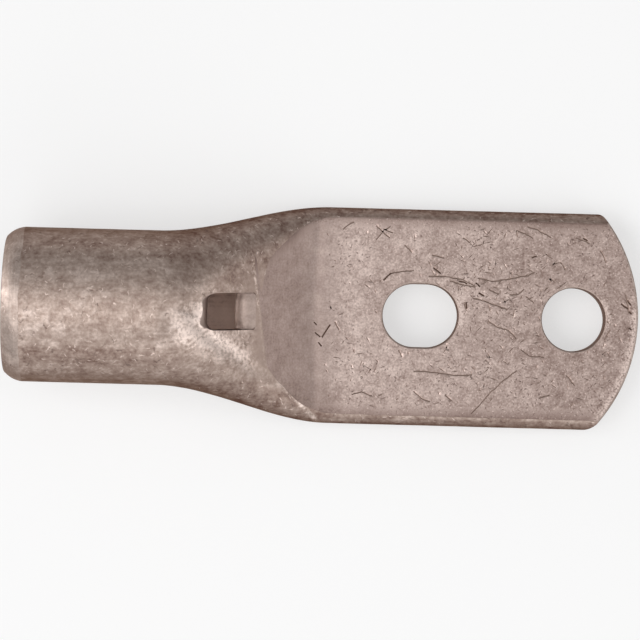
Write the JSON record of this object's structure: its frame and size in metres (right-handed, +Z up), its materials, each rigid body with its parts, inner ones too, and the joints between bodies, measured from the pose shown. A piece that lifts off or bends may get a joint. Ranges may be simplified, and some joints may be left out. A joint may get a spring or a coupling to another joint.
{
  "type": "cable lug",
  "caption": "Tinned copper tube lug: a round barrel for a crimped cable, a pressed shoulder with an inspection window, and a flat palm with a round and a slotted bolt hole.",
  "frame": {"origin": "middle of the bounding box, on the flat underside", "axes": "+X from the barrel's mouth to the palm's tip, +Y across the palm, +Z up from the underside that lies on the busbar"},
  "size_m": [0.1042, 0.036, 0.0254],
  "materials": {
    "tinned_copper": "dull tinned copper with a warm grey tarnish, tumbled on the barrel and smooth on the pressed palm"
  },
  "bodies": {
    "root": {"lug": "tinned_copper"}
  },
  "joints": []
}
